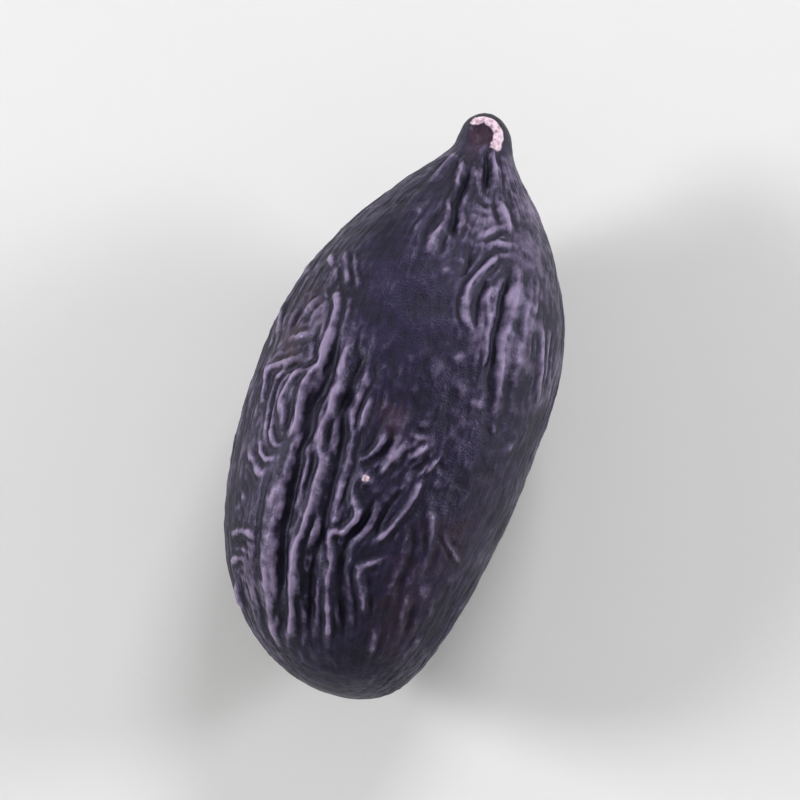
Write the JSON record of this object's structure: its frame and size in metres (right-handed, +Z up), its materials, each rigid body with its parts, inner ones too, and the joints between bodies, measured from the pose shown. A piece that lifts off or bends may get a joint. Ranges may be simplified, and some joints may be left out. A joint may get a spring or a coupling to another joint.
{
  "type": "peanut kernel",
  "caption": "Shelled black-skinned peanut kernel, a wrinkled seed that tapers from a blunt end to a small pale beak, lying on its belly.",
  "frame": {"origin": "middle of the kernel's plan outline, on the surface it rests on", "axes": "+Y along the kernel towards its pale beak, +Z up, through the thinnest way"},
  "size_m": [0.0084, 0.017, 0.0076],
  "materials": {
    "skin": "dry, wrinkled, faintly waxy purple-black seed coat"
  },
  "bodies": {
    "root": {"kernel": "skin"}
  },
  "joints": []
}
